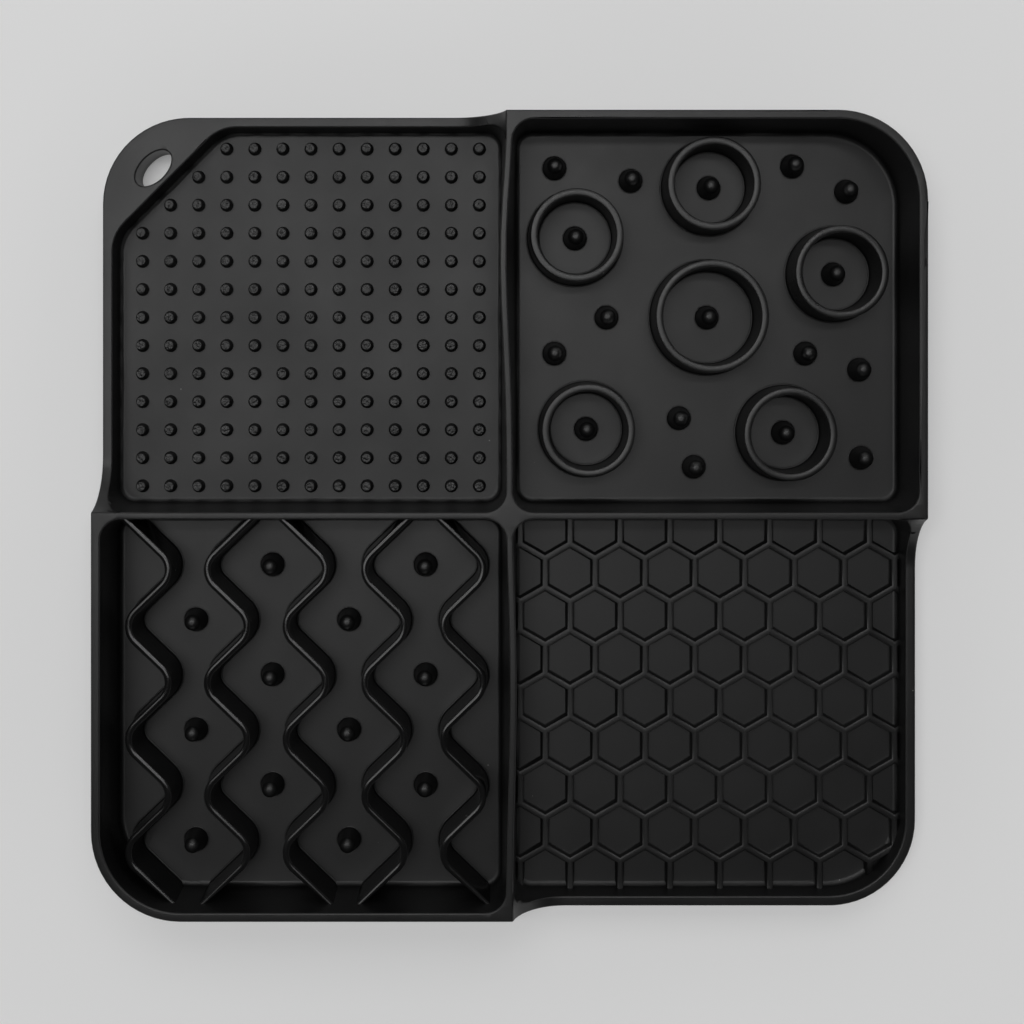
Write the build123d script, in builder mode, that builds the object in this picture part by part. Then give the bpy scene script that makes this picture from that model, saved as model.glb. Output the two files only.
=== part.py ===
"""Lick mat: a square silicone mat with four food compartments round a cross-shaped divider.

Two deep compartments (feeder rings, wavy ribs) and two shallow ones (nubs, honeycomb) sit on one
flat floor. The shallow rims sweep up to the deep rims in concave ramps. Millimetres, +Z up, origin
at the centre of the underside, +X to the ring side and +Y to the nub side.
"""
import os
from math import floor, radians, sqrt, tan

from build123d import *

# Outline and levels of the mat
MAT_WIDTH = 200.0  # across X, over the deep rims
MAT_DEPTH = 194.0  # across Y, over the deep rims
MAT_CORNER = 21.5  # outer corner radius at the deep rims
FLOOR = 2.0  # thickness of the floor
SHALLOW_HEIGHT = 8.4  # top of the shallow rims
DEEP_HEIGHT = 18.0  # top of the deep rims and of the divider

# Walls
RIM = 2.2  # rim width at the top of a deep compartment
DIVIDER = 1.7  # divider width at its top
OUTER_DRAFT = 2.0  # degrees, outside of the mat
WALL_DRAFT = 3.5  # degrees, inside of the compartments
POCKET_CORNER = 5.0  # compartment corner radius at the mouth
FLOOR_FILLET = 1.2  # between the floor and the compartment walls
RAMP_LENGTH = 13.0  # run of a ramp from the divider down to the shallow rim

# Hanging corner of the nub compartment
CORNER_CUT = 26.6  # leg of the 45 degree wall across the corner, at the mouth
CUT_BEND = 10.5  # radius where that wall turns into the straight walls, at the mouth
HOLE_LENGTH = 10.8  # oval hanging hole, its long axis along the 45 degree wall
HOLE_WIDTH = 6.2
HOLE_EDGE = 9.1  # from the outer corner to the middle of the hanging hole

# Nubs
NUB_PITCH = 7.0
NUB_DIAMETER = 3.0  # at the foot
NUB_HEIGHT = 2.2
NUB_DRAFT = 9.0  # degrees
NUB_CROWN = 0.6  # rounding of the top edge
NUB_EDGE = 2.0  # least distance from a nub's centre to the wall's fillet

# Feeder rings and studs
SMALL_RING = 23.4  # outside diameter at the foot
CENTRE_RING = 28.2
RING_WALL = 2.5  # at the foot
RING_HEIGHT = 10.4
RING_DRAFT = 2.0  # degrees
RING_CROWN = 0.6  # rounding of the top edges
STUD_DIAMETER = 5.8  # at the foot
STUD_HEIGHT = 6.3
STUD_DRAFT = 11.0  # degrees
STUD_CROWN = 1.3  # rounding of the top edge

# Wavy ribs
WAVE_COUNT = 5
WAVE_BENDS = 6  # bends of each rib between the two walls
WAVE_CORNER = 7.1  # zigzag corner, off the rib's middle line
WAVE_RADIUS = 5.2  # bend radius on the zigzag corners
WAVE_FOOT = 2.5  # thickness at the floor
WAVE_TOP = 1.6  # thickness at the top
WAVE_HEIGHT = 11.0
WAVE_CROWN = 0.5  # rounding of the top edges
WAVE_SIDE_GAP = 2.1  # from the outermost bends to the wall's fillet

# Honeycomb
CELL_PITCH = 12.4  # across the flats, middle of rib to middle of rib
CELL_RIB = 1.6
CELL_HEIGHT = 2.0

# Places of the rings and studs, as shares of the half spans of the compartment's flat floor
RING_SPOTS = [(0.01, 0.72), (-0.71, 0.44), (0.68, 0.24), (-0.65, -0.62), (0.41, -0.64)]
CENTRE_RING_SPOT = (0.0, 0.0)
STUD_SPOTS = [
    (-0.82, 0.83),
    (-0.41, 0.76),
    (0.46, 0.84),
    (0.75, 0.70),
    (-0.54, 0.0),
    (-0.82, -0.20),
    (0.53, -0.20),
    (0.82, -0.29),
    (-0.15, -0.56),
    (-0.07, -0.83),
    (0.83, -0.78),
]

# Compartments: a corner of each mouth is at half the divider, the opposite one inside the rims
MOUTH_X = MAT_WIDTH / 2 - RIM
MOUTH_Y = MAT_DEPTH / 2 - RIM
TRAY_X = (DIVIDER / 2 + MOUTH_X) / 2
TRAY_Y = (DIVIDER / 2 + MOUTH_Y) / 2
FLAT_INSET = (DEEP_HEIGHT - FLOOR) * tan(radians(WALL_DRAFT)) + FLOOR_FILLET
HALF_X = (MOUTH_X - DIVIDER / 2) / 2 - FLAT_INSET
HALF_Y = (MOUTH_Y - DIVIDER / 2) / 2 - FLAT_INSET
CUT_OVERRUN = 1.0  # cutting tools run past the faces that they open

# Side view of what is cut away above a shallow rim, measured out from the middle of the divider
RAMP_HEAD = (DIVIDER / 2, DEEP_HEIGHT)
RAMP_FOOT = (DIVIDER / 2 + RAMP_LENGTH, SHALLOW_HEIGHT)
CUT_TOP = DEEP_HEIGHT + CUT_OVERRUN
CUT_REACH = MAT_WIDTH + MAT_DEPTH
CUT_CORNERS = [(DIVIDER / 2, CUT_TOP), (CUT_REACH, CUT_TOP), (CUT_REACH, SHALLOW_HEIGHT)]

FLOOR_PLANE = Plane.XY.offset(FLOOR)
NUB_SIDE = (-1, 1)
RING_SIDE = (1, 1)
WAVE_SIDE = (-1, -1)
CELL_SIDE = (1, -1)


def wall_inset(level):
    """How far a drafted compartment wall stands inside its mouth at a level."""
    return (DEEP_HEIGHT - level) * tan(radians(WALL_DRAFT))


def mouth_corners(side, inset, corner_cut):
    """Corner points and radii of a compartment's outline, drawn in by an inset."""
    near = DIVIDER / 2 + inset
    far_x = MOUTH_X - inset
    far_y = MOUTH_Y - inset
    inner_radius = POCKET_CORNER - inset
    outer_radius = MAT_CORNER - RIM - inset
    points = [(near, far_y), (near, near), (far_x, near)]
    radii = [inner_radius] * 3
    if corner_cut:
        reach = MOUTH_X + MOUTH_Y - corner_cut - inset * sqrt(2)
        points += [(far_x, reach - far_x), (reach - far_y, far_y)]
        radii += [CUT_BEND - inset] * 2
    else:
        points += [(far_x, far_y)]
        radii += [outer_radius]
    return [(side[0] * x, side[1] * y) for x, y in points], radii


def compartment(side, corner_cut=0.0):
    """Hollow of one compartment, from the floor to just above the deep rims."""
    with BuildPart() as hollow:
        for level in (FLOOR, CUT_TOP):
            points, radii = mouth_corners(side, wall_inset(level), corner_cut)
            with BuildSketch(Plane.XY.offset(level)):
                with BuildLine():
                    FilletPolyline(*points, radius=radii, close=True)
                make_face()
        loft(ruled=True)
        fillet(hollow.edges().group_by(Axis.Z)[0], FLOOR_FILLET)
    return hollow.part


def tray_spot(side, spot):
    """Place on a compartment's floor, from its shares of the flat floor's half spans."""
    return (side[0] * TRAY_X + spot[0] * HALF_X, side[1] * TRAY_Y + spot[1] * HALF_Y)


nub_hollow = compartment(NUB_SIDE, CORNER_CUT)
ring_hollow = compartment(RING_SIDE)
wave_hollow = compartment(WAVE_SIDE)
cell_hollow = compartment(CELL_SIDE)

# Mat body: floor, rims, ramps and divider in one moulding
with BuildPart() as mat_body:
    for level in (0, DEEP_HEIGHT):
        draw_in = (DEEP_HEIGHT - level) * tan(radians(OUTER_DRAFT))
        with BuildSketch(Plane.XY.offset(level)):
            RectangleRounded(MAT_WIDTH - 2 * draw_in, MAT_DEPTH - 2 * draw_in, MAT_CORNER - draw_in)
    loft(ruled=True)
    for side_x, side_y in (NUB_SIDE, CELL_SIDE):
        along_x = Plane((0, side_y * TRAY_Y, 0), x_dir=(side_x, 0, 0), z_dir=(0, side_y, 0))
        along_y = Plane((side_x * TRAY_X, 0, 0), x_dir=(0, side_y, 0), z_dir=(-side_x, 0, 0))
        for plane, run in ((along_x, MAT_DEPTH), (along_y, -MAT_WIDTH)):
            with BuildSketch(plane):
                with BuildLine():
                    TangentArc(RAMP_FOOT, RAMP_HEAD, tangent=(-1, 0))
                    Polyline(RAMP_HEAD, *CUT_CORNERS, RAMP_FOOT)
                make_face()
            extrude(amount=run, mode=Mode.SUBTRACT)
    add([nub_hollow, ring_hollow, wave_hollow, cell_hollow], mode=Mode.SUBTRACT)
    hole_reach = (MAT_CORNER - HOLE_EDGE) / sqrt(2)
    hole_x = NUB_SIDE[0] * (MAT_WIDTH / 2 - MAT_CORNER + hole_reach)
    hole_y = NUB_SIDE[1] * (MAT_DEPTH / 2 - MAT_CORNER + hole_reach)
    with BuildSketch(Plane.XY):
        with Locations((hole_x, hole_y)):
            Ellipse(HOLE_LENGTH / 2, HOLE_WIDTH / 2, rotation=45)
    extrude(amount=DEEP_HEIGHT, mode=Mode.SUBTRACT)


def round_pegs(spots, diameter, height, draft, crown):
    """Drafted round pegs with rounded tops, standing on the floor."""
    with BuildPart() as pegs:
        with BuildSketch(FLOOR_PLANE):
            with Locations(*spots):
                Circle(diameter / 2)
        extrude(amount=height, taper=draft)
        fillet(pegs.edges().group_by(Axis.Z)[-1], crown)
    return pegs


def nub_spots():
    """Square grid over the nub compartment's floor, short of the wall across its corner."""
    columns = floor(2 * (HALF_X - NUB_EDGE) / NUB_PITCH) + 1
    rows = floor(2 * (HALF_Y - NUB_EDGE) / NUB_PITCH) + 1
    reach = MOUTH_X + MOUTH_Y - CORNER_CUT - sqrt(2) * (FLAT_INSET + NUB_DIAMETER / 2)
    spots = []
    for column in range(columns):
        for row in range(rows):
            x = TRAY_X + (column - (columns - 1) / 2) * NUB_PITCH
            y = TRAY_Y + (row - (rows - 1) / 2) * NUB_PITCH
            if x + y < reach:
                spots.append((NUB_SIDE[0] * x, NUB_SIDE[1] * y))
    return spots


nubs = round_pegs(nub_spots(), NUB_DIAMETER, NUB_HEIGHT, NUB_DRAFT, NUB_CROWN)


def feeder_ring(diameter, spot):
    """One ring wall, thinner towards its rounded top."""
    with BuildPart() as ring:
        with BuildSketch(FLOOR_PLANE):
            with Locations(tray_spot(RING_SIDE, spot)):
                Circle(diameter / 2)
                Circle(diameter / 2 - RING_WALL, mode=Mode.SUBTRACT)
        extrude(amount=RING_HEIGHT, taper=RING_DRAFT)
        fillet(ring.edges().group_by(Axis.Z)[-1], RING_CROWN)
    return ring


rings = {"centre_ring": feeder_ring(CENTRE_RING, CENTRE_RING_SPOT)}
for number, spot in enumerate(RING_SPOTS, 1):
    rings[f"small_ring_{number}"] = feeder_ring(SMALL_RING, spot)

ring_stud_spots = [tray_spot(RING_SIDE, spot) for spot in [CENTRE_RING_SPOT] + RING_SPOTS]
loose_stud_spots = [tray_spot(RING_SIDE, spot) for spot in STUD_SPOTS]
stud_sizes = (STUD_DIAMETER, STUD_HEIGHT, STUD_DRAFT, STUD_CROWN)
ring_studs = round_pegs(ring_stud_spots, *stud_sizes)
loose_studs = round_pegs(loose_stud_spots, *stud_sizes)

# Wavy ribs: zigzags from the middle of the divider to the middle of the rim, every second one
# mirrored, with a stud in each wide cell between them
wave_step = (MAT_DEPTH - RIM) / 2 / (WAVE_BENDS + 1)
wave_slope = 2 * WAVE_CORNER / wave_step
wave_swing = WAVE_CORNER - WAVE_RADIUS * (sqrt(1 + wave_slope**2) - 1)
wave_pitch = 2 * (HALF_X - WAVE_SIDE_GAP - wave_swing - WAVE_FOOT / 2) / (WAVE_COUNT - 1)


def rib_x(index):
    """Middle line of a wavy rib, counted from the rim towards the divider."""
    return WAVE_SIDE[0] * TRAY_X + (index - (WAVE_COUNT - 1) / 2) * wave_pitch


def wave_rib(index):
    """One wavy rib, cut off by the walls of its compartment."""
    swing = WAVE_CORNER if index % 2 else -WAVE_CORNER
    points = []
    for bend in range(WAVE_BENDS + 2):
        points.append((rib_x(index) + swing, WAVE_SIDE[1] * bend * wave_step))
        swing = -swing
    with BuildPart() as rib:
        with BuildLine(FLOOR_PLANE) as path:
            FilletPolyline(*points, radius=WAVE_RADIUS)
        heading = path.line % 0
        with BuildSketch(Plane(path.line @ 0, x_dir=Vector(0, 0, 1).cross(heading), z_dir=heading)):
            with BuildLine():
                foot = WAVE_FOOT / 2
                top = WAVE_TOP / 2
                Polyline((-foot, 0), (foot, 0), (top, WAVE_HEIGHT), (-top, WAVE_HEIGHT), close=True)
            profile = make_face()
            fillet(profile.vertices().group_by(Axis.Y)[-1], WAVE_CROWN)
        sweep()
        add(wave_hollow, mode=Mode.INTERSECT)
    return rib


ribs = {f"wave_rib_{index + 1}": wave_rib(index) for index in range(WAVE_COUNT)}

wave_stud_spots = []
for index in range(WAVE_COUNT - 1):
    for bend in range(1, WAVE_BENDS + 1):
        if (bend + index) % 2 == 0:
            wave_stud_spots.append((rib_x(index + 0.5), WAVE_SIDE[1] * bend * wave_step))
wave_studs = round_pegs(wave_stud_spots, *stud_sizes)


def cell_spots():
    """Centres of hexagons that cover the honeycomb compartment, in rows a half cell apart."""
    row_step = CELL_PITCH * sqrt(3) / 2
    rows = floor(MOUTH_Y / 2 / row_step) + 1
    columns = floor(MOUTH_X / 2 / CELL_PITCH) + 1
    spots = []
    for row in range(-rows, rows + 1):
        shift = 0.25 if row % 2 else -0.25
        for column in range(-columns, columns + 1):
            x = CELL_SIDE[0] * TRAY_X + (column + shift) * CELL_PITCH
            spots.append((x, CELL_SIDE[1] * TRAY_Y + row * row_step))
    return spots


# Honeycomb: one low lattice with hexagonal cells, cut off by the walls of its compartment
with BuildPart() as honeycomb:
    with BuildSketch(FLOOR_PLANE):
        with Locations((CELL_SIDE[0] * TRAY_X, CELL_SIDE[1] * TRAY_Y)):
            Rectangle(MOUTH_X, MOUTH_Y)
        with Locations(*cell_spots()):
            apothem = (CELL_PITCH - CELL_RIB) / 2
            RegularPolygon(apothem, 6, major_radius=False, rotation=30, mode=Mode.SUBTRACT)
    extrude(amount=CELL_HEIGHT)
    add(cell_hollow, mode=Mode.INTERSECT)

os.makedirs("parts", exist_ok=True)
pieces = {
    "mat_body": mat_body,
    "nubs": nubs,
    **rings,
    "ring_studs": ring_studs,
    "loose_studs": loose_studs,
    **ribs,
    "wave_studs": wave_studs,
    "honeycomb": honeycomb,
}
for name, piece in pieces.items():
    piece.part.label = name
    export_step(piece.part, f"parts/{name}.step")
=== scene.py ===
"""Black silicone lick mat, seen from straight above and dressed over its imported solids.

One moulding with four compartments: low nubs, feeder rings, wavy ribs and a honeycomb. Sizes are
in metres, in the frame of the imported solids: +X to the ring side, +Y to the nub side, +Z up.
"""

import logging
import math
from dataclasses import dataclass, field
from enum import Enum

import bmesh
import bpy
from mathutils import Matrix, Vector, noise


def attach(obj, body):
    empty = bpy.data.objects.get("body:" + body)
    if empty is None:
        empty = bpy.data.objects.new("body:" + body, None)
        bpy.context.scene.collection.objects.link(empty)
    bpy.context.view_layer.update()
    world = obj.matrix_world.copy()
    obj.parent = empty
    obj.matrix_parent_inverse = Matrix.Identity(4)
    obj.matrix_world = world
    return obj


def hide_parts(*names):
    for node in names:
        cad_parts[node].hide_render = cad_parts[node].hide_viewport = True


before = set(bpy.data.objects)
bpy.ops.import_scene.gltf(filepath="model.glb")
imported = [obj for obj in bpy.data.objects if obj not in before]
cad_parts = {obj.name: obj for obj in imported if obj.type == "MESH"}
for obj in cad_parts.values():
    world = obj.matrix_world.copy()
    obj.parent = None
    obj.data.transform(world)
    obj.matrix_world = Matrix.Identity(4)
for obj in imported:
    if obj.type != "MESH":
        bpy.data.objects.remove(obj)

MM = 0.001
FLOOR_TOP = 2.0 * MM
BURIED = 0.3 * MM
CUT_TOLERANCE = 0.001 * MM
BODY = "root"

# Middle of a compartment's floor, and the outline that runs inside the deep walls.
CELL_X, CELL_Y = 49.325 * MM, 47.825 * MM
WALL_HALF = (98.6 * MM, 95.6 * MM)
WALL_CORNER = 20.1 * MM

# A wall's section: shares of its half top, and its spread at the floor and below it, in fillets.
DOME_SHARES = (1.0, 0.6, 0.3, 0.0, -0.3, -0.6, -1.0)
ROOT_REACH = 1.25
SKIRT_REACH = 1.6

# Colour sockets of a Mix node, whose names its other sockets share, and the middle of a noise.
MIX_FIRST, MIX_SECOND, MIX_RESULT = 6, 7, 2
NOISE_MIDDLE = 0.5

log = logging.getLogger("lick_mat")

Point2 = tuple[float, float]
Point3 = tuple[float, float, float]
Colour = tuple[float, float, float]
Socket = bpy.types.NodeSocket


class Wiring:
    """Nodes of one tree, added step by step."""

    def __init__(self, tree: bpy.types.NodeTree) -> None:
        """Keeps the tree that the nodes go into."""
        self.tree = tree

    def feed(self, node: bpy.types.Node, inputs: dict) -> None:
        """Fills the sockets of a node.

        Args:
            node: The node.
            inputs: Sockets by name or number, each with a value or the socket that feeds it.
        """
        for key, value in inputs.items():
            if isinstance(value, bpy.types.NodeSocket):
                self.tree.links.new(value, node.inputs[key])
            else:
                node.inputs[key].default_value = value

    def add(self, kind: str, inputs: dict | None = None, **settings: object) -> bpy.types.Node:
        """Adds one node.

        Args:
            kind: Blender's name for the node.
            inputs: Sockets by name or number, each with a value or the socket that feeds it.
            settings: Properties of the node.

        Returns:
            The new node.
        """
        node = self.tree.nodes.new(kind)
        for key, value in settings.items():
            setattr(node, key, value)
        self.feed(node, inputs or {})
        return node

    def math(self, operation: str, first: object, second: object = 0.0) -> Socket:
        """Adds a sum, product or other rule of two numbers.

        Args:
            operation: Blender's name for the rule.
            first: First number, or the socket that feeds it.
            second: Second number, or the socket that feeds it.

        Returns:
            The socket that carries the result.
        """
        return self.add("ShaderNodeMath", {0: first, 1: second}, operation=operation).outputs[0]

    def part(self, vector: Socket, axis: str) -> Socket:
        """Takes one part out of a vector.

        Args:
            vector: The vector.
            axis: X, Y or Z.

        Returns:
            The socket that carries that part.
        """
        return self.add("ShaderNodeSeparateXYZ", {0: vector}).outputs[axis]

    def span(self, level: Socket, band: Point2, values: Point2) -> Socket:
        """Changes from one value to another over a band of levels.

        Args:
            level: What the value follows.
            band: Levels where the change starts and ends.
            values: Values at the two ends.

        Returns:
            The socket that carries the value.
        """
        ends = {0: level, 1: band[0], 2: band[1], 3: values[0], 4: values[1]}
        return self.add("ShaderNodeMapRange", ends).outputs[0]

    def ramp(self, level: Socket, band: Point2, gains: Point2, colour: Colour) -> Socket:
        """Changes from one strength of a colour to another over a band of levels.

        Args:
            level: What the colour follows.
            band: Levels where the change starts and ends.
            gains: Strengths at the two ends.
            colour: The colour at strength 1.

        Returns:
            The socket that carries the colour.
        """
        node = self.add("ShaderNodeValToRGB", {"Fac": level})
        for element, at, gain in zip(node.color_ramp.elements, band, gains):
            element.position = at
            element.color = (*(gain * part for part in colour), 1.0)
        return node.outputs["Color"]


class Grain(Enum):
    """Surface of the mould that the silicone has copied."""

    MOULDED = "moulded"
    CRUMBLED = "crumbled"


@dataclass(frozen=True)
class SiliconeFinish:
    """Black moulded silicone: fine grain, cloudy gloss and a few specks of dust."""

    name: str
    colour: Colour = (0.0048, 0.0048, 0.0049)
    refraction: float = 1.41
    roughness: float = 0.37
    floor_roughness: float = 0.43
    floor_band: Point2 = (FLOOR_TOP + 0.2 * MM, FLOOR_TOP + 1.4 * MM)
    grain: Grain = Grain.MOULDED
    grain_size: float = 0.45 * MM
    grain_detail: float = 2.0
    grain_depth: float = 0.012 * MM
    cloud_size: float = 26 * MM
    cloud_detail: float = 3.0
    cloud_roughness: float = 0.6
    cloud_band: Point2 = (0.3, 0.7)
    cloud_gains: Point2 = (0.85, 1.15)
    cloud_gloss: float = 0.18
    dust_colour: Colour = (0.16, 0.16, 0.155)
    dust_spacing: float = 5.5 * MM
    dust_size: float = 0.16 * MM
    dust_share: float = 0.16
    crumb_size: float = 0.62 * MM
    crumb_depth: float = 0.1 * MM
    crumb_floor: float = FLOOR_TOP + 1.75 * MM
    crumb_fade: float = 0.3 * MM

    def material(self) -> bpy.types.Material:
        """Builds the material.

        Returns:
            The material, on Object coordinates.
        """
        made = bpy.data.materials.new(self.name)
        made.use_nodes = True
        wiring = Wiring(made.node_tree)
        place = wiring.add("ShaderNodeTexCoord").outputs["Object"]
        cloud = wiring.add(
            "ShaderNodeTexNoise",
            {
                "Vector": place,
                "Scale": 1 / self.cloud_size,
                "Detail": self.cloud_detail,
                "Roughness": self.cloud_roughness,
            },
        ).outputs["Fac"]
        looks = {
            "Base Color": self._shades(wiring, place, cloud),
            "Roughness": self._gloss(wiring, place, cloud),
            "Normal": self._relief(wiring, place),
            "IOR": self.refraction,
            "Metallic": 0.0,
        }
        wiring.feed(made.node_tree.nodes["Principled BSDF"], looks)
        return made

    def _shades(self, wiring: Wiring, place: Socket, cloud: Socket) -> Socket:
        """Black with slow light and dark clouds, and sparse pale specks of dust."""
        black = wiring.ramp(cloud, self.cloud_band, self.cloud_gains, self.colour)
        specks = wiring.add(
            "ShaderNodeTexVoronoi", {"Vector": place, "Scale": 1 / self.dust_spacing}
        ).outputs
        reach = self.dust_size / self.dust_spacing
        near = wiring.math("LESS_THAN", specks["Distance"], reach)
        pick = wiring.add("ShaderNodeSeparateColor", {0: specks["Color"]}).outputs[0]
        chosen = wiring.math("LESS_THAN", pick, self.dust_share)
        dust = wiring.math("MULTIPLY", near, chosen)
        shades = {0: dust, MIX_FIRST: black, MIX_SECOND: (*self.dust_colour, 1.0)}
        return wiring.add("ShaderNodeMix", shades, data_type="RGBA").outputs[MIX_RESULT]

    def _gloss(self, wiring: Wiring, place: Socket, cloud: Socket) -> Socket:
        """One roughness on the floors and another above them, both a little cloudy."""
        height = wiring.part(place, "Z")
        level = wiring.span(height, self.floor_band, (self.floor_roughness, self.roughness))
        swing = wiring.math("SUBTRACT", cloud, NOISE_MIDDLE)
        return wiring.math("ADD", level, wiring.math("MULTIPLY", swing, self.cloud_gloss))

    def _relief(self, wiring: Wiring, place: Socket) -> Socket:
        """Fine grain of the mould, and crumbs on top where the grain asks for them."""
        fine = wiring.add(
            "ShaderNodeTexNoise",
            {"Vector": place, "Scale": 1 / self.grain_size, "Detail": self.grain_detail},
        ).outputs["Fac"]
        normal = wiring.add(
            "ShaderNodeBump", {"Height": fine, "Strength": 1.0, "Distance": self.grain_depth}
        ).outputs["Normal"]
        if self.grain is Grain.MOULDED:
            return normal
        crumbs = wiring.add(
            "ShaderNodeTexVoronoi", {"Vector": place, "Scale": 1 / self.crumb_size}
        ).outputs["Distance"]
        band = (self.crumb_floor, self.crumb_floor + self.crumb_fade)
        upper = wiring.span(wiring.part(place, "Z"), band, (0.0, -1.0))
        rough = wiring.math("MULTIPLY", crumbs, upper)
        return wiring.add(
            "ShaderNodeBump",
            {"Height": rough, "Strength": 1.0, "Distance": self.crumb_depth, "Normal": normal},
        ).outputs["Normal"]


class Recipe(Wiring):
    """A Geometry Nodes tree with named sizes, baked to plain meshes."""

    def __init__(self, name: str) -> None:
        """Starts an empty tree with one geometry going in and one coming out."""
        tree = bpy.data.node_groups.new(name, "GeometryNodeTree")
        super().__init__(tree)
        for way in ("INPUT", "OUTPUT"):
            tree.interface.new_socket("Geometry", in_out=way, socket_type="NodeSocketGeometry")
        self.start = self.add("NodeGroupInput")
        self.identifiers: dict[str, str] = {}

    def size(self, label: str, kind: str = "Float") -> Socket:
        """Adds a named input.

        Args:
            label: Name of the input.
            kind: Blender's name for what it holds.

        Returns:
            The socket that carries it.
        """
        socket = self.tree.interface.new_socket(
            label, in_out="INPUT", socket_type=f"NodeSocket{kind}"
        )
        self.identifiers[label] = socket.identifier
        return self.start.outputs[label]

    def shape(self, label: str) -> Socket:
        """Adds a named input for a helper object.

        Args:
            label: Name of the input.

        Returns:
            The socket that carries the object's geometry.
        """
        helper = self.size(label, "Object")
        return self.add("GeometryNodeObjectInfo", {"Object": helper}).outputs["Geometry"]

    def place(self, axis: str) -> Socket:
        """Gives one part of each point's place.

        Args:
            axis: X, Y or Z.

        Returns:
            The socket that carries that part.
        """
        return self.part(self.add("GeometryNodeInputPosition").outputs[0], axis)

    def grid(self, pitch: Socket, row_step: Socket, columns: Socket, rows: Socket) -> Socket:
        """Lays a flat grid of points round the origin.

        Args:
            pitch: Step from column to column.
            row_step: Step from row to row.
            columns: Points in a row.
            rows: Points in a column.

        Returns:
            The grid.
        """
        wide = self.math("MULTIPLY", pitch, self.math("SUBTRACT", columns, 1.0))
        deep = self.math("MULTIPLY", row_step, self.math("SUBTRACT", rows, 1.0))
        sizes = {"Size X": wide, "Size Y": deep, "Vertices X": columns, "Vertices Y": rows}
        return self.add("GeometryNodeMeshGrid", sizes).outputs[0]

    def moved(self, geometry: Socket, centre: Socket) -> Socket:
        """Moves geometry from the origin to its place.

        Args:
            geometry: What moves.
            centre: Where its origin goes.

        Returns:
            The moved geometry.
        """
        shift = {"Geometry": geometry, "Translation": centre}
        return self.add("GeometryNodeTransform", shift).outputs[0]

    def sweep(self, path: Socket, profile: Socket) -> Socket:
        """Sweeps a section, kept upright, along a level path.

        Args:
            path: The level path.
            profile: Curve of the section.

        Returns:
            The swept wall, with closed ends.
        """
        upright = self.add("GeometryNodeSetCurveNormal", {"Curve": path}, mode="Z_UP")
        curves = {"Curve": upright.outputs[0], "Profile Curve": profile, "Fill Caps": True}
        return self.add("GeometryNodeCurveToMesh", curves).outputs[0]

    def close(self, geometry: Socket, finish: bpy.types.Material) -> None:
        """Ends the tree: real geometry, smooth shading and one material.

        Args:
            geometry: What comes out of the tree.
            finish: Its material.
        """
        real = self.add("GeometryNodeRealizeInstances", {"Geometry": geometry})
        smooth = self.add("GeometryNodeSetShadeSmooth", {"Geometry": real.outputs[0]})
        dressed = self.add(
            "GeometryNodeSetMaterial", {"Geometry": smooth.outputs[0], "Material": finish}
        )
        self.add("NodeGroupOutput", {0: dressed.outputs[0]})

    def bake(
        self, name: str, sizes: dict, start: bpy.types.Mesh | None = None
    ) -> bpy.types.Object:
        """Runs the tree once.

        Args:
            name: Name of the piece.
            sizes: Values of the named inputs.
            start: Mesh that goes into the tree.

        Returns:
            A plain mesh object at the origin.
        """
        piece = bpy.data.objects.new(name, start or bpy.data.meshes.new(name))
        bpy.context.scene.collection.objects.link(piece)
        modifier = piece.modifiers.new(name, "NODES")
        modifier.node_group = self.tree
        for label, value in sizes.items():
            modifier[self.identifiers[label]] = value
        depsgraph = bpy.context.evaluated_depsgraph_get()
        depsgraph.update()
        mesh = bpy.data.meshes.new_from_object(piece.evaluated_get(depsgraph))
        piece.modifiers.remove(modifier)
        piece.data = mesh
        mesh.name = name
        return piece


class Helper:
    """An object that a tree reads while it is baked, removed afterwards."""

    def __init__(self, name: str, data: bpy.types.ID) -> None:
        """Links the object into the scene."""
        self.object = bpy.data.objects.new(name, data)
        bpy.context.scene.collection.objects.link(self.object)

    def __enter__(self) -> bpy.types.Object:
        """Gives the object."""
        return self.object

    def __exit__(self, *_: object) -> None:
        """Takes the object out again."""
        bpy.data.objects.remove(self.object)


def seat(piece: bpy.types.Object, *nodes: str) -> bpy.types.Object:
    """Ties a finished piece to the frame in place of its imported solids.

    Args:
        piece: The finished piece.
        nodes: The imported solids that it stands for.

    Returns:
        The same piece.
    """
    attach(piece, BODY)
    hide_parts(*nodes)
    log.info("%s: %d faces for %s", piece.name, len(piece.data.polygons), ", ".join(nodes))
    return piece


def rounded(points: list[Point2], radii: list[float], steps: int = 3) -> list[Point2]:
    """Rounds the corners of an open outline.

    Args:
        points: Corners of the outline.
        radii: Radius at each corner, 0 to keep it sharp.
        steps: Runs in each rounding.

    Returns:
        The outline with its corners rounded.
    """
    made: list[Point2] = []
    for index, (corner, radius) in enumerate(zip(points, radii)):
        here = Vector(corner)
        if radius <= 0 or index in (0, len(points) - 1):
            made.append(corner)
            continue
        back = (Vector(points[index - 1]) - here).normalized()
        ahead = (Vector(points[index + 1]) - here).normalized()
        half = back.angle(ahead) / 2
        middle = here + (back + ahead).normalized() * (radius / math.sin(half))
        first = here + back * (radius / math.tan(half)) - middle
        last = here + ahead * (radius / math.tan(half)) - middle
        for step in range(steps + 1):
            turn = first.lerp(last, step / steps).normalized() * radius
            made.append(tuple(middle + turn))
    return made


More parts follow.
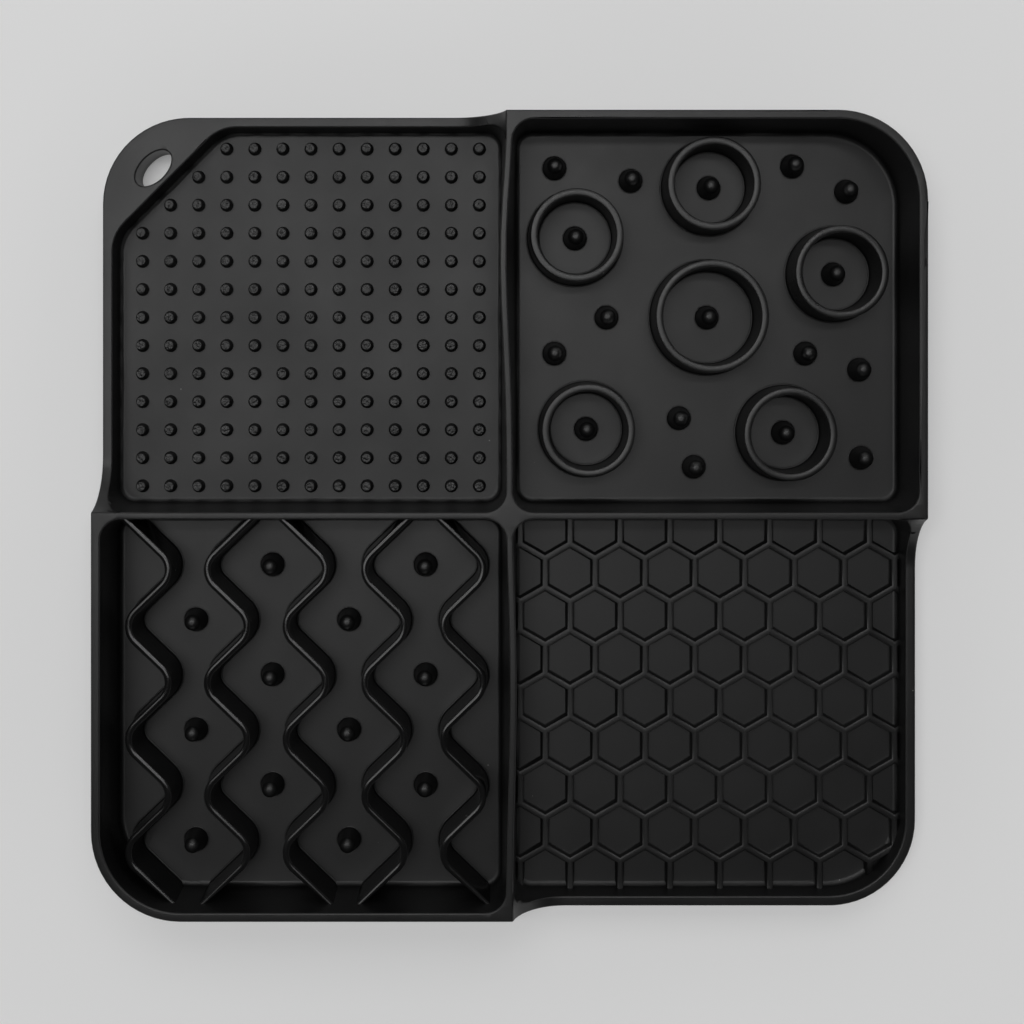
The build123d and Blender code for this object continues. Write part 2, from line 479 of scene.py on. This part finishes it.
def turned(name: str, outline: list[Point2], sides: int) -> bpy.types.Mesh:
    """Closed round body, from the outline of its side.

    Args:
        name: Name of the mesh.
        outline: Radius and height from the foot to the top, where the radius is 0.
        sides: Faces round the body.

    Returns:
        The mesh, standing on its own origin.
    """
    work = bmesh.new()
    turns = [2 * math.pi * side / sides for side in range(sides)]
    rings = [
        [work.verts.new((radius * math.cos(t), radius * math.sin(t), height)) for t in turns]
        for radius, height in outline[:-1]
    ]
    pole = work.verts.new((0, 0, outline[-1][1]))
    work.faces.new(reversed(rings[0]))
    for low, high in zip(rings, rings[1:]):
        for side in range(sides):
            after = (side + 1) % sides
            work.faces.new((low[side], low[after], high[after], high[side]))
    for side in range(sides):
        work.faces.new((rings[-1][side], rings[-1][(side + 1) % sides], pole))
    mesh = bpy.data.meshes.new(name)
    work.to_mesh(mesh)
    work.free()
    return mesh


def section(name: str, outline: list[Point2]) -> bpy.types.Curve:
    """Closed section of a wall, drawn flat for a sweep.

    Args:
        name: Name of the curve.
        outline: Points across and up.

    Returns:
        The curve.
    """
    curve = bpy.data.curves.new(name, "CURVE")
    curve.dimensions = "3D"
    spline = curve.splines.new("POLY")
    spline.points.add(len(outline) - 1)
    for point, (across, up) in zip(spline.points, reversed(outline)):
        point.co = (across, -up, 0, 1)
    spline.use_cyclic_u = True
    return curve


def wall_section(
    foot: float, top: float, height: float, crown: float, root: float, dome: float
) -> list[Point2]:
    """Section of a wall that stands on the floor: domed top, small fillet at the foot.

    Args:
        foot: Thickness at the floor.
        top: Thickness at the top.
        height: Height above the floor.
        crown: Rounding of the top edges.
        root: Fillet where the wall meets the floor.
        dome: Rise of the top's middle over its edges.

    Returns:
        The closed outline, across and up, from the foot on one side to the other.
    """
    side = [
        (foot / 2 + SKIRT_REACH * root, -BURIED),
        (foot / 2 + ROOT_REACH * root, 0.0),
        (foot / 2, 0.0),
    ]
    cap = [(top / 2 * share, height - dome * share**2) for share in DOME_SHARES]
    other_side = [(-across, up) for across, up in reversed(side)]
    flat = [0] * (len(DOME_SHARES) - 2)
    return rounded(
        [*side, *cap, *other_side], [0, 0, root, crown, *flat, crown, root, 0, 0]
    )


@dataclass
class MouldedBody:
    """Floor, rims, ramps and cross-shaped divider, all one moulding with soft edges."""

    weld: float = 0.002 * MM
    flat_angle: float = math.radians(0.15)
    edge: float = 0.42 * MM
    edge_angle: float = math.radians(28)
    edge_segments: int = 3
    edge_profile: float = 0.5
    flat_weight: int = 100
    cut_step: float = 8 * MM
    cut_shift: float = 0.37
    arm: float = 95 * MM
    top: float = 18 * MM
    divider_reach: float = 4.0 * MM
    lean_power: float = 1.3
    upper_bow: float = -1.5 * MM
    upper_peak: float = 1.6
    lower_bow: float = 0.9 * MM
    lower_peak: float = 0.85

    def build(self, finish: bpy.types.Material) -> bpy.types.Object:
        """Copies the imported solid, lets its tall divider bow and softens its edges.

        Args:
            finish: Material of the body.

        Returns:
            The finished piece.
        """
        work = bmesh.new()
        work.from_mesh(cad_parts["mat_body"].data)
        bmesh.ops.remove_doubles(work, verts=work.verts, dist=self.weld)
        bmesh.ops.dissolve_limit(
            work, angle_limit=self.flat_angle, verts=work.verts, edges=work.edges
        )
        self._cut_across(work)
        for vert in work.verts:
            vert.co.x += self._bow(vert.co)
        self._soften(work)
        bmesh.ops.triangulate(work, faces=[face for face in work.faces if len(face.verts) > 4])
        for face in work.faces:
            face.smooth = True
        mesh = bpy.data.meshes.new("moulded_body")
        work.to_mesh(mesh)
        work.free()
        mesh.materials.append(finish)
        piece = bpy.data.objects.new("moulded_body", mesh)
        bpy.context.scene.collection.objects.link(piece)
        normals = piece.modifiers.new("flat faces stay flat", "WEIGHTED_NORMAL")
        normals.weight = self.flat_weight
        normals.keep_sharp = False
        return seat(piece, "mat_body")

    def _cut_across(self, work: bmesh.types.BMesh) -> None:
        """Divides the long faces, so that the walls can bow."""
        count = round(self.arm / self.cut_step)
        for axis in ((1, 0, 0), (0, 1, 0)):
            for step in range(-count, count + 1):
                bmesh.ops.bisect_plane(
                    work,
                    geom=[*work.verts, *work.edges, *work.faces],
                    dist=CUT_TOLERANCE,
                    plane_co=Vector(axis) * (step + self.cut_shift) * self.cut_step,
                    plane_no=axis,
                )

    def _bow(self, place: Vector) -> float:
        """Sideways lean of the divider's top, none at the floor, the rims and the crossing."""
        if abs(place.x) > self.divider_reach or abs(place.y) > self.arm:
            return 0.0
        lift = max(0.0, (place.z - FLOOR_TOP) / (self.top - FLOOR_TOP)) ** self.lean_power
        along = abs(place.y) / self.arm
        if place.y > 0:
            bow, peak = self.upper_bow, self.upper_peak
        else:
            bow, peak = self.lower_bow, self.lower_peak
        return bow * lift * math.sin(math.pi * along**peak) ** 2

    def _soften(self, work: bmesh.types.BMesh) -> None:
        """Rounds the convex edges that are sharp."""
        edges = [
            edge
            for edge in work.edges
            if len(edge.link_faces) == 2
            and edge.is_convex
            and edge.calc_face_angle(0.0) > self.edge_angle
        ]
        bmesh.ops.bevel(
            work,
            geom=edges,
            offset=self.edge,
            offset_type="OFFSET",
            segments=self.edge_segments,
            profile=self.edge_profile,
            affect="EDGES",
            clamp_overlap=False,
        )


@dataclass
class NubField:
    """Low crumbly nubs on a square grid, short of the wall across the hanging corner."""

    centre: Point2 = (-CELL_X, CELL_Y)
    pitch: float = 7.0 * MM
    columns: int = 13
    rows: int = 13
    corner: float = 160.8 * MM
    foot: float = 1.52 * MM
    top: float = 1.2 * MM
    height: float = 2.2 * MM
    skirt: float = 0.3 * MM
    root: float = 0.14 * MM
    edge_steps: tuple[Point2, ...] = ((0.01 * MM, 0.2 * MM), (-0.05 * MM, 0.06 * MM))
    top_rings: tuple[float, ...] = (0.85, 0.7, 0.56, 0.42, 0.28, 0.14, 0.0)
    top_slack: float = 0.01 * MM
    crumb: float = 0.1 * MM
    crumb_size: float = 0.43 * MM
    sides: int = 20
    largest_turn: float = 6.28
    seed: int = 7

    def build(self, finish: bpy.types.Material) -> bpy.types.Object:
        """Sets one nub on every place of the grid.

        Args:
            finish: Material of the nubs.

        Returns:
            The finished piece.
        """
        recipe = Recipe("nub grid")
        recipe.close(self._tree(recipe), finish)
        with Helper("one nub", self._nub()) as nub:
            sizes = {
                "Nub": nub,
                "Pitch": self.pitch,
                "Columns": self.columns,
                "Rows": self.rows,
                "Centre": (*self.centre, FLOOR_TOP),
                "Corner": self.corner,
                "Seed": self.seed,
            }
            piece = recipe.bake("nub_field", sizes)
        self._crumble(piece.data)
        return seat(piece, "nubs")

    def _nub(self) -> bpy.types.Mesh:
        """One nub: drafted side, rounded edge and a flat top in fine rings."""
        corners = [
            (self.foot + self.skirt, -BURIED),
            (self.foot + self.root, 0.0),
            (self.foot, self.root),
            *[(self.top + out, self.height - down) for out, down in self.edge_steps],
            *[(self.top * share, self.height) for share in self.top_rings],
        ]
        return turned("one nub", corners, self.sides)

    def _crumble(self, mesh: bpy.types.Mesh) -> None:
        """Makes the flat tops uneven, each nub in its own way."""
        level = FLOOR_TOP + self.height - self.top_slack
        for vert in mesh.vertices:
            if vert.co.z > level:
                vert.co.z += self.crumb * noise.noise(vert.co / self.crumb_size)

    def _tree(self, recipe: Recipe) -> Socket:
        """Grid of points, cut off at the corner, with a nub turned at random on each."""
        pitch = recipe.size("Pitch")
        columns = recipe.size("Columns", "Int")
        rows = recipe.size("Rows", "Int")
        centre = recipe.size("Centre", "Vector")
        corner = recipe.size("Corner")
        seed = recipe.size("Seed", "Int")
        nub = recipe.shape("Nub")
        placed = recipe.moved(recipe.grid(pitch, pitch, columns, rows), centre)
        reach = recipe.math("SUBTRACT", recipe.place("Y"), recipe.place("X"))
        past = recipe.math("GREATER_THAN", reach, corner)
        kept = recipe.add(
            "GeometryNodeDeleteGeometry", {"Geometry": placed, "Selection": past}, domain="POINT"
        ).outputs[0]
        spin = recipe.add(
            "FunctionNodeRandomValue",
            {"Min": (0, 0, 0), "Max": (0, 0, self.largest_turn), "Seed": seed},
            data_type="FLOAT_VECTOR",
        ).outputs[0]
        return recipe.add(
            "GeometryNodeInstanceOnPoints", {"Points": kept, "Instance": nub, "Rotation": spin}
        ).outputs[0]


@dataclass
class Studs:
    """Domed studs that stand on the floor, a set for each group of places."""

    foot: float = 2.86 * MM
    height: float = 6.3 * MM
    draft: float = math.radians(10)
    root: float = 0.3 * MM
    root_reach: float = 1.1
    skirt_reach: float = 1.5
    flat: float = 0.25 * MM
    cap_runs: int = 10
    sides: int = 32
    ring_centres: list[Point2] = field(default_factory=list)
    loose: list[Point2] = field(default_factory=list)
    wave: list[Point2] = field(default_factory=list)

    def build(self, finish: bpy.types.Material) -> list[bpy.types.Object]:
        """Sets a stud on every place.

        Args:
            finish: Material of the studs.

        Returns:
            The three finished pieces.
        """
        recipe = Recipe("stud places")
        stud = recipe.shape("Stud")
        set_out = recipe.add(
            "GeometryNodeInstanceOnPoints", {"Points": recipe.start.outputs[0], "Instance": stud}
        )
        recipe.close(set_out.outputs[0], finish)
        groups = (
            ("cup_studs", self.ring_centres, "ring_studs"),
            ("scattered_studs", self.loose, "loose_studs"),
            ("channel_studs", self.wave, "wave_studs"),
        )
        made = []
        with Helper("one stud", self._stud()) as unit:
            for name, places, node in groups:
                points = bpy.data.meshes.new(name)
                points.from_pydata([(x, y, FLOOR_TOP) for x, y in places], [], [])
                made.append(seat(recipe.bake(name, {"Stud": unit}, points), node))
        return made

    def _stud(self) -> bpy.types.Mesh:
        """One stud: fillet at the foot, drafted side and a top rounded nearly all over."""
        top = self.foot - self.height * math.tan(self.draft)
        cap = (top - self.flat) * math.tan((math.pi / 2 + self.draft) / 2)
        corners = [
            (self.foot + self.skirt_reach * self.root, -BURIED),
            (self.foot + self.root_reach * self.root, 0.0),
            (self.foot, 0.0),
            (top, self.height),
            (0.0, self.height),
        ]
        outline = rounded(corners, [0, 0, self.root, cap, 0], self.cap_runs)
        return turned("one stud", outline, self.sides)


@dataclass
class FeederRings:
    """Round feeder walls: one in the middle of the compartment and five smaller ones."""

    centre_diameter: float = 28.2 * MM
    small_diameter: float = 23.4 * MM
    wall: float = 2.5 * MM
    top_wall: float = 1.78 * MM
    height: float = 10.4 * MM
    crown: float = 0.28 * MM
    root: float = 0.4 * MM
    dome: float = 0.12 * MM
    runs: int = 128
    centres: list[Point2] = field(default_factory=list)

    def build(self, finish: bpy.types.Material) -> list[bpy.types.Object]:
        """Sweeps the wall's section round each centre.

        Args:
            finish: Material of the rings.

        Returns:
            The finished pieces, the middle one first.
        """
        recipe = Recipe("ring wall")
        recipe.close(self._tree(recipe), finish)
        outline = wall_section(
            self.wall, self.top_wall, self.height, self.crown, self.root, self.dome
        )
        made = []
        with Helper("ring section", section("ring section", outline)) as profile:
            for index, (x, y) in enumerate(self.centres):
                diameter = self.small_diameter if index else self.centre_diameter
                node = f"small_ring_{index}" if index else "centre_ring"
                sizes = {
                    "Section": profile,
                    "Radius": (diameter - self.wall) / 2,
                    "Runs": self.runs,
                    "Centre": (x, y, FLOOR_TOP),
                }
                made.append(seat(recipe.bake(f"feeder_wall_{index}", sizes), node))
        return made

    def _tree(self, recipe: Recipe) -> Socket:
        """Circle with the section swept along it, moved to its place."""
        radius = recipe.size("Radius")
        runs = recipe.size("Runs", "Int")
        centre = recipe.size("Centre", "Vector")
        profile = recipe.shape("Section")
        path = recipe.add(
            "GeometryNodeCurvePrimitiveCircle", {"Resolution": runs, "Radius": radius}
        )
        return recipe.moved(recipe.sweep(path.outputs[0], profile), centre)


@dataclass
class WavyRibs:
    """Zigzag ribs with rounded bends, from the divider to the rim."""

    middles: list[float] = field(default_factory=list)
    bends: int = 6
    step: float = 13.7 * MM
    corner: float = 7.1 * MM
    bend_radius: float = 5.2 * MM
    bend_runs: int = 14
    foot: float = 2.5 * MM
    top: float = 1.6 * MM
    height: float = 11.0 * MM
    crown: float = 0.16 * MM
    root: float = 0.4 * MM
    dome: float = 0.2 * MM
    wall_half: Point2 = WALL_HALF
    wall_corner: float = WALL_CORNER

    def build(self, finish: bpy.types.Material) -> list[bpy.types.Object]:
        """Sweeps the rib's section along each zigzag.

        Args:
            finish: Material of the ribs.

        Returns:
            The finished pieces, from the rim to the divider.
        """
        recipe = Recipe("wavy rib")
        recipe.close(self._tree(recipe), finish)
        outline = wall_section(
            self.foot, self.top, self.height, self.crown, self.root, self.dome
        )
        made = []
        with Helper("rib section", section("rib section", outline)) as profile:
            for index, middle in enumerate(self.middles):
                sizes = {
                    "Section": profile,
                    "Points": self.bends + 2,
                    "Start": (middle, 0.0, FLOOR_TOP),
                    "Step": self.step,
                    "Corner": self.corner if index % 2 else -self.corner,
                    "Bend radius": self.bend_radius,
                    "Bend runs": self.bend_runs,
                }
                piece = recipe.bake(f"zigzag_rib_{index + 1}", sizes)
                self._end_in_wall(piece.data)
                made.append(seat(piece, f"wave_rib_{index + 1}"))
        return made

    def _tree(self, recipe: Recipe) -> Socket:
        """Zigzag line with rounded bends, and the section swept along it."""
        points = recipe.size("Points", "Int")
        start = recipe.size("Start", "Vector")
        step = recipe.size("Step")
        corner = recipe.size("Corner")
        radius = recipe.size("Bend radius")
        runs = recipe.size("Bend runs", "Int")
        profile = recipe.shape("Section")
        away = recipe.add("ShaderNodeCombineXYZ", {"Y": recipe.math("MULTIPLY", step, -1.0)})
        line = recipe.add(
            "GeometryNodeMeshLine",
            {"Count": points, "Start Location": start, "Offset": away.outputs[0]},
        )
        index = recipe.add("GeometryNodeInputIndex").outputs[0]
        odd = recipe.math("MODULO", index, 2.0)
        side = recipe.math("SUBTRACT", 1.0, recipe.math("MULTIPLY", odd, 2.0))
        swing = recipe.add("ShaderNodeCombineXYZ", {"X": recipe.math("MULTIPLY", side, corner)})
        zigzag = recipe.add(
            "GeometryNodeSetPosition", {"Geometry": line.outputs[0], "Offset": swing.outputs[0]}
        )
        path = recipe.add("GeometryNodeMeshToCurve", {"Mesh": zigzag.outputs[0]})
        bent = recipe.add(
            "GeometryNodeFilletCurve",
            {"Curve": path.outputs[0], "Radius": radius, "Count": runs},
            mode="POLY",
        )
        return recipe.sweep(bent.outputs[0], profile)

    def _end_in_wall(self, mesh: bpy.types.Mesh) -> None:
        """Draws the far end of a rib back into the rim, where the rim hides it."""
        core = [half - self.wall_corner for half in self.wall_half]
        for vert in mesh.vertices:
            place = vert.co
            past = Vector((max(0.0, -place.x - core[0]), max(0.0, -place.y - core[1])))
            if past.length > self.wall_corner:
                back = past * (1 - self.wall_corner / past.length)
                place.x += back.x
                place.y += back.y


@dataclass
class Honeycomb:
    """Low lattice of hexagonal cells over the floor of its compartment."""

    centre: Point2 = (CELL_X, -CELL_Y)
    pitch: float = 12.4 * MM
    rib: float = 1.6 * MM
    height: float = 2.0 * MM
    columns: int = 13
    rows: int = 13
    crown_steps: tuple[Point2, ...] = (
        (-0.34 * MM, 0.0),
        (-0.16 * MM, 0.06 * MM),
        (-0.04 * MM, 0.22 * MM),
    )
    root_steps: tuple[Point2, ...] = (
        (0.04 * MM, 0.34 * MM),
        (0.14 * MM, 0.1 * MM),
        (0.36 * MM, 0.0),
        (0.4 * MM, -BURIED),
    )
    near: float = 0.6 * MM
    far: Point2 = WALL_HALF
    far_corner: float = WALL_CORNER
    corner_cuts: int = 10

    def build(self, finish: bpy.types.Material) -> bpy.types.Object:
        """Makes the cells, then cuts the lattice off inside the walls.

        Args:
            finish: Material of the lattice.

        Returns:
            The finished piece.
        """
        recipe = Recipe("hexagon lattice")
        recipe.close(self._tree(recipe), finish)
        sizes = {
            "Pitch": self.pitch,
            "Columns": self.columns,
            "Rows": self.rows,
            "Centre": (*self.centre, FLOOR_TOP + self.height),
        }
        piece = recipe.bake("hex_lattice", sizes)
        self._cut_off(piece.data)
        return seat(piece, "honeycomb")

    def _steps(self) -> list[Point2]:
        """Side of a cell as steps: how far in from the rib's middle, and how far down."""
        half = self.rib / 2
        crown = [(half + inward, down) for inward, down in self.crown_steps]
        root = [(half + inward, self.height - up) for inward, up in self.root_steps]
        return [*crown, *root]

    def _hexagons(self, recipe: Recipe, pitch: Socket, columns: Socket, rows: Socket) -> Socket:
        """Flat hexagons round the origin, as the dual of a triangle grid."""
        row_step = recipe.math("MULTIPLY", pitch, math.sqrt(3) / 2)
        grid = recipe.grid(pitch, row_step, columns, rows)
        row = recipe.math("ROUND", recipe.math("DIVIDE", recipe.place("Y"), row_step))
        odd = recipe.math("FLOORED_MODULO", row, 2.0)
        shift = recipe.math("MULTIPLY", recipe.math("SUBTRACT", odd, 0.5), 0.5)
        offset = recipe.add("ShaderNodeCombineXYZ", {"X": recipe.math("MULTIPLY", shift, pitch)})
        staggered = recipe.add(
            "GeometryNodeSetPosition", {"Geometry": grid, "Offset": offset.outputs[0]}
        )
        triangles = recipe.add("GeometryNodeTriangulate", {"Mesh": staggered.outputs[0]})
        return recipe.add("GeometryNodeDualMesh", {"Mesh": triangles.outputs[0]}).outputs[0]

    def _tree(self, recipe: Recipe) -> Socket:
        """Hexagons, each drawn in and pushed down in steps, moved to their place."""
        pitch = recipe.size("Pitch")
        columns = recipe.size("Columns", "Int")
        rows = recipe.size("Rows", "Int")
        centre = recipe.size("Centre", "Vector")
        mesh = self._hexagons(recipe, pitch, columns, rows)
        apothem = self.pitch / 2
        inset, depth = 0.0, 0.0
        top: Socket | bool = True
        for next_inset, next_depth in self._steps():
            pushed = recipe.add(
                "GeometryNodeExtrudeMesh",
                {"Mesh": mesh, "Selection": top, "Offset Scale": 0.0, "Individual": True},
            ).outputs
            top = pushed["Top"]
            scale = (apothem - next_inset) / (apothem - inset)
            drawn = recipe.add(
                "GeometryNodeScaleElements",
                {"Geometry": pushed["Mesh"], "Selection": top, "Scale": scale},
            ).outputs[0]
            drop = (0, 0, depth - next_depth)
            mesh = recipe.add(
                "GeometryNodeSetPosition", {"Geometry": drawn, "Selection": top, "Offset": drop}
            ).outputs[0]
            inset, depth = next_inset, next_depth
        return recipe.moved(mesh, centre)

    def _cut_off(self, mesh: bpy.types.Mesh) -> None:
        """Cuts the lattice off in the middle of the walls round it, and closes it underneath."""
        far_x, far_y = self.far
        core = Vector((far_x - self.far_corner, self.far_corner - far_y, 0))
        cuts = [((self.near, 0, 0), (-1, 0, 0)), ((0, -self.near, 0), (0, 1, 0))]
        for step in range(self.corner_cuts):
            turn = math.radians(90 * step / (self.corner_cuts - 1))
            away = Vector((math.cos(turn), -math.sin(turn), 0))
            cuts.append((core + away * self.far_corner, away))
        work = bmesh.new()
        work.from_mesh(mesh)
        for place, away in cuts:
            bmesh.ops.bisect_plane(
                work,
                geom=[*work.verts, *work.edges, *work.faces],
                dist=CUT_TOLERANCE,
                plane_co=place,
                plane_no=away,
                clear_outer=True,
            )
        rim = [edge for edge in work.edges if edge.is_boundary]
        skirt = bmesh.ops.extrude_edge_only(work, edges=rim)["geom"]
        for vert in skirt:
            if isinstance(vert, bmesh.types.BMVert):
                vert.co.z = FLOOR_TOP - 2 * BURIED
        low = [edge for edge in work.edges if edge.is_boundary]
        under = bmesh.ops.edgeloop_fill(work, edges=low)["faces"]
        bmesh.ops.triangulate(work, faces=under)
        bmesh.ops.recalc_face_normals(work, faces=work.faces)
        work.to_mesh(mesh)
        work.free()


@dataclass(frozen=True)
class SoftBox:
    """Flat rectangular light, tipped about X to face the mat."""

    name: str
    place: Point3
    size: Point2
    power: float

    def hang(self, scene: bpy.types.Scene) -> None:
        """Hangs the light.

        Args:
            scene: The scene that it lights.
        """
        data = bpy.data.lights.new(self.name, "AREA")
        data.shape = "RECTANGLE"
        data.size, data.size_y = self.size
        data.energy = self.power
        light = bpy.data.objects.new(self.name, data)
        light.location = self.place
        light.rotation_euler = (-math.atan2(self.place[1], self.place[2]), 0.0, 0.0)
        scene.collection.objects.link(light)


@dataclass
class Studio:
    """Pale floor, a room that is dim overhead, four soft boxes and a camera straight above."""

    floor_colour: Colour = (0.7, 0.7, 0.7)
    floor_roughness: float = 0.9
    floor_shine: float = 0.1
    floor_glow: float = 0.23
    floor_reach: float = 4.0
    floor_level: float = -0.1 * MM
    room_colour: Colour = (1.0, 1.0, 1.0)
    room_band: Point2 = (0.3, 0.45)
    room_gains: Point2 = (1.0, 0.05)
    boxes: tuple[SoftBox, ...] = (
        SoftBox("strip box", (-0.42, 0.1, 2.17), (1.9, 0.7), 10.9),
        SoftBox("slit box", (-0.2, 0.58, 2.1), (1.9, 0.16), 8.5),
        SoftBox("fill box", (-0.45, -0.27, 2.15), (0.7, 0.22), 1.6),
        SoftBox("back box", (0.0, 1.47, 1.635), (2.05, 1.1), 9.0),
    )
    camera_place: Point3 = (-4.42 * MM, 37.1 * MM, 366 * MM)
    lens: float = 51.28
    sensor: float = 36.0
    shift: Point2 = (0.0205, -0.148)
    clip: Point2 = (0.01, 20.0)

    def build(self) -> None:
        """Sets up the floor, the room, the lights and the camera."""
        scene = bpy.context.scene
        scene.view_settings.view_transform = "Standard"
        self._floor(scene)
        self._room(scene)
        for box in self.boxes:
            box.hang(scene)
        self._camera(scene)

    def _camera(self, scene: bpy.types.Scene) -> None:
        """Hangs the camera, level over the mat."""
        lens = bpy.data.cameras.new("overhead camera")
        lens.lens = self.lens
        lens.sensor_width = self.sensor
        lens.shift_x, lens.shift_y = self.shift
        lens.clip_start, lens.clip_end = self.clip
        camera = bpy.data.objects.new("overhead camera", lens)
        camera.location = self.camera_place
        scene.collection.objects.link(camera)
        scene.camera = camera

    def _floor(self, scene: bpy.types.Scene) -> None:
        """Lays a wide pale floor just under the mat, with a faint glow where it is seen."""
        mesh = bpy.data.meshes.new("floor")
        ways = [(-1, -1), (1, -1), (1, 1), (-1, 1)]
        corners = [(x * self.floor_reach, y * self.floor_reach, self.floor_level) for x, y in ways]
        mesh.from_pydata(corners, [], [(0, 1, 2, 3)])
        paint = bpy.data.materials.new("pale floor")
        paint.use_nodes = True
        wiring = Wiring(paint.node_tree)
        path = wiring.add("ShaderNodeLightPath").outputs
        clear = wiring.math("ADD", path["Is Glossy Ray"], path["Is Transmission Ray"])
        seen = wiring.math("MAXIMUM", path["Is Camera Ray"], clear)
        looks = {
            "Base Color": (*self.floor_colour, 1.0),
            "Roughness": self.floor_roughness,
            "Specular IOR Level": self.floor_shine,
            "Emission Color": (*self.floor_colour, 1.0),
            "Emission Strength": wiring.math("MULTIPLY", seen, self.floor_glow),
        }
        wiring.feed(paint.node_tree.nodes["Principled BSDF"], looks)
        mesh.materials.append(paint)
        floor = bpy.data.objects.new("floor", mesh)
        scene.collection.objects.link(floor)

    def _room(self, scene: bpy.types.Scene) -> None:
        """Pale round the horizon, dim overhead."""
        room = bpy.data.worlds.new("room")
        room.use_nodes = True
        wiring = Wiring(room.node_tree)
        way = wiring.add("ShaderNodeTexCoord").outputs["Generated"]
        up = wiring.part(way, "Z")
        shade = wiring.ramp(up, self.room_band, self.room_gains, self.room_colour)
        wiring.feed(room.node_tree.nodes["Background"], {"Color": shade, "Strength": 1.0})
        scene.world = room


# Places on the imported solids: rings, studs as shares of the half floor, and the wavy ribs.
RING_CENTRES: list[Point2] = [
    (CELL_X, CELL_Y),
    (49.788 * MM, 80.078 * MM),
    (16.455 * MM, 67.535 * MM),
    (80.807 * MM, 58.576 * MM),
    (19.232 * MM, 20.051 * MM),
    (68.307 * MM, 19.155 * MM),
]
STUD_SHARES: list[Point2] = [
    (-0.82, 0.83),
    (-0.41, 0.76),
    (0.46, 0.84),
    (0.75, 0.70),
    (-0.54, 0.0),
    (-0.82, -0.20),
    (0.53, -0.20),
    (0.82, -0.29),
    (-0.15, -0.56),
    (-0.07, -0.83),
    (0.83, -0.78),
]
HALF_FLOOR: Point2 = (46.296 * MM, 44.796 * MM)
RIB_COUNT = 5
RIB_PITCH = 19.0677 * MM


def rib_lines(count: int) -> list[float]:
    """Spreads lines evenly over the wave compartment, one rib pitch apart.

    Args:
        count: How many lines.

    Returns:
        Where each line lies on X.
    """
    return [(index - (count - 1) / 2) * RIB_PITCH - CELL_X for index in range(count)]


def stud_places() -> tuple[list[Point2], list[Point2]]:
    """Finds the places of the studs outside the rings.

    Returns:
        Places between the rings, and places between the wavy ribs.
    """
    loose = [(CELL_X + x * HALF_FLOOR[0], CELL_Y + y * HALF_FLOOR[1]) for x, y in STUD_SHARES]
    ribs = WavyRibs()
    wave = []
    for gap, across in enumerate(rib_lines(RIB_COUNT - 1)):
        for bend in range(1, ribs.bends + 1):
            if (bend + gap) % 2 == 0:
                wave.append((across, -bend * ribs.step))
    return loose, wave


def main() -> None:
    """Builds the mat piece by piece, then the studio round it."""
    logging.basicConfig(level=logging.INFO, format="%(name)s %(message)s")
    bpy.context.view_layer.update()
    silicone = SiliconeFinish("black silicone").material()
    satin = SiliconeFinish("black silicone, satin tops", roughness=0.3).material()
    glossy = SiliconeFinish(
        "black silicone, smooth ribs", roughness=0.15, grain_depth=0.004 * MM
    ).material()
    domed = SiliconeFinish("black silicone, domed studs", roughness=0.36).material()
    crumbly = SiliconeFinish("black silicone, crumbly tops", grain=Grain.CRUMBLED).material()
    loose, wave = stud_places()
    MouldedBody().build(silicone)
    NubField().build(crumbly)
    FeederRings(centres=RING_CENTRES).build(satin)
    Studs(ring_centres=RING_CENTRES, loose=loose, wave=wave).build(domed)
    WavyRibs(middles=rib_lines(RIB_COUNT)).build(glossy)
    Honeycomb().build(silicone)
    Studio().build()


if __name__ == "__main__":
    main()
